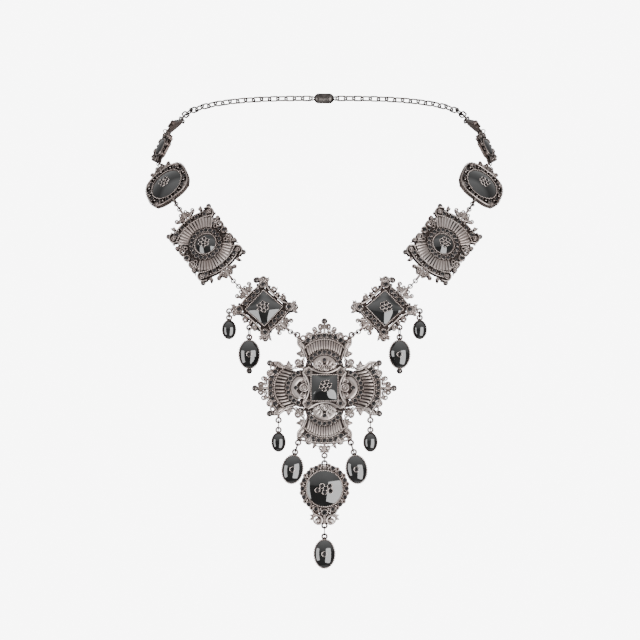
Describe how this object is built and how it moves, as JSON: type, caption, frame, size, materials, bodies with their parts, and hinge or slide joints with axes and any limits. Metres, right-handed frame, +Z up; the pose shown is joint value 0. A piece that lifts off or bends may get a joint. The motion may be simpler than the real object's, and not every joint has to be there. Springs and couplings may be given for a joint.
{
  "type": "cross pendant necklace",
  "caption": "Loop necklace of cast openwork links and a wide cross pendant, set with dark cabochons and small crystals, with oval drops and a swinging round main drop.",
  "frame": {"origin": "inner face of the clasp where the necklace rests on the nape of the neck", "axes": "+Z up along the neck, -Y to the front where the cross hangs, +X to the viewer's right of the cross"},
  "size_m": [0.1672, 0.1539, 0.2227],
  "materials": {
    "antique_metal": "antiqued dark silver, polished high edges and oxidised recesses",
    "dark_metal": "gunmetal, satin",
    "jet_stone": "polished jet black",
    "crystal": "faceted hematite black"
  },
  "bodies": {
    "root": {"cross_frame": "antique_metal", "cross_stone": "jet_stone", "cross_crystals": "crystal", "square_link_r": "antique_metal", "square_link_r_stone": "jet_stone", "square_link_r_crystals": "crystal", "square_link_l": "antique_metal", "square_link_l_stone": "jet_stone", "square_link_l_crystals": "crystal", "fan_link_r": "antique_metal", "fan_link_r_stone": "jet_stone", "fan_link_r_crystals": "crystal", "fan_link_l": "antique_metal", "fan_link_l_stone": "jet_stone", "fan_link_l_crystals": "crystal", "shoulder_link_r": "antique_metal", "shoulder_link_r_stone": "jet_stone", "shoulder_link_r_crystals": "crystal", "shoulder_link_l": "antique_metal", "shoulder_link_l_stone": "jet_stone", "shoulder_link_l_crystals": "crystal", "oval_link_r": "antique_metal", "oval_link_r_stone": "jet_stone", "oval_link_l": "antique_metal", "oval_link_l_stone": "jet_stone", "end_link_r": "antique_metal", "end_link_l": "antique_metal", "cross_drop_r": "antique_metal", "cross_drop_r_stone": "jet_stone", "cross_drop_l": "antique_metal", "cross_drop_l_stone": "jet_stone", "cross_small_drop_r": "dark_metal", "cross_small_drop_r_stone": "jet_stone", "cross_small_drop_l": "dark_metal", "cross_small_drop_l_stone": "jet_stone", "link_drop_r": "antique_metal", "link_drop_r_stone": "jet_stone", "link_drop_l": "antique_metal", "link_drop_l_stone": "jet_stone", "link_small_drop_r": "dark_metal", "link_small_drop_r_stone": "jet_stone", "link_small_drop_l": "dark_metal", "link_small_drop_l_stone": "jet_stone", "rings_r": "antique_metal", "rings_l": "antique_metal", "chain_r": "dark_metal", "chain_l": "dark_metal", "clasp": "dark_metal"},
    "drop": {"main_drop": "antique_metal", "main_drop_stone": "jet_stone", "main_drop_crystals": "crystal", "foot_drop": "antique_metal", "foot_drop_stone": "jet_stone", "main_ring": "antique_metal", "foot_ring": "antique_metal"}
  },
  "joints": [
    {"name": "main_drop_swing", "type": "hinge", "parent": "root", "child": "drop", "pos_m": [0, -0.14582, -0.17061], "axis": [1, 0, 0], "range_deg": [-60, 60]}
  ]
}
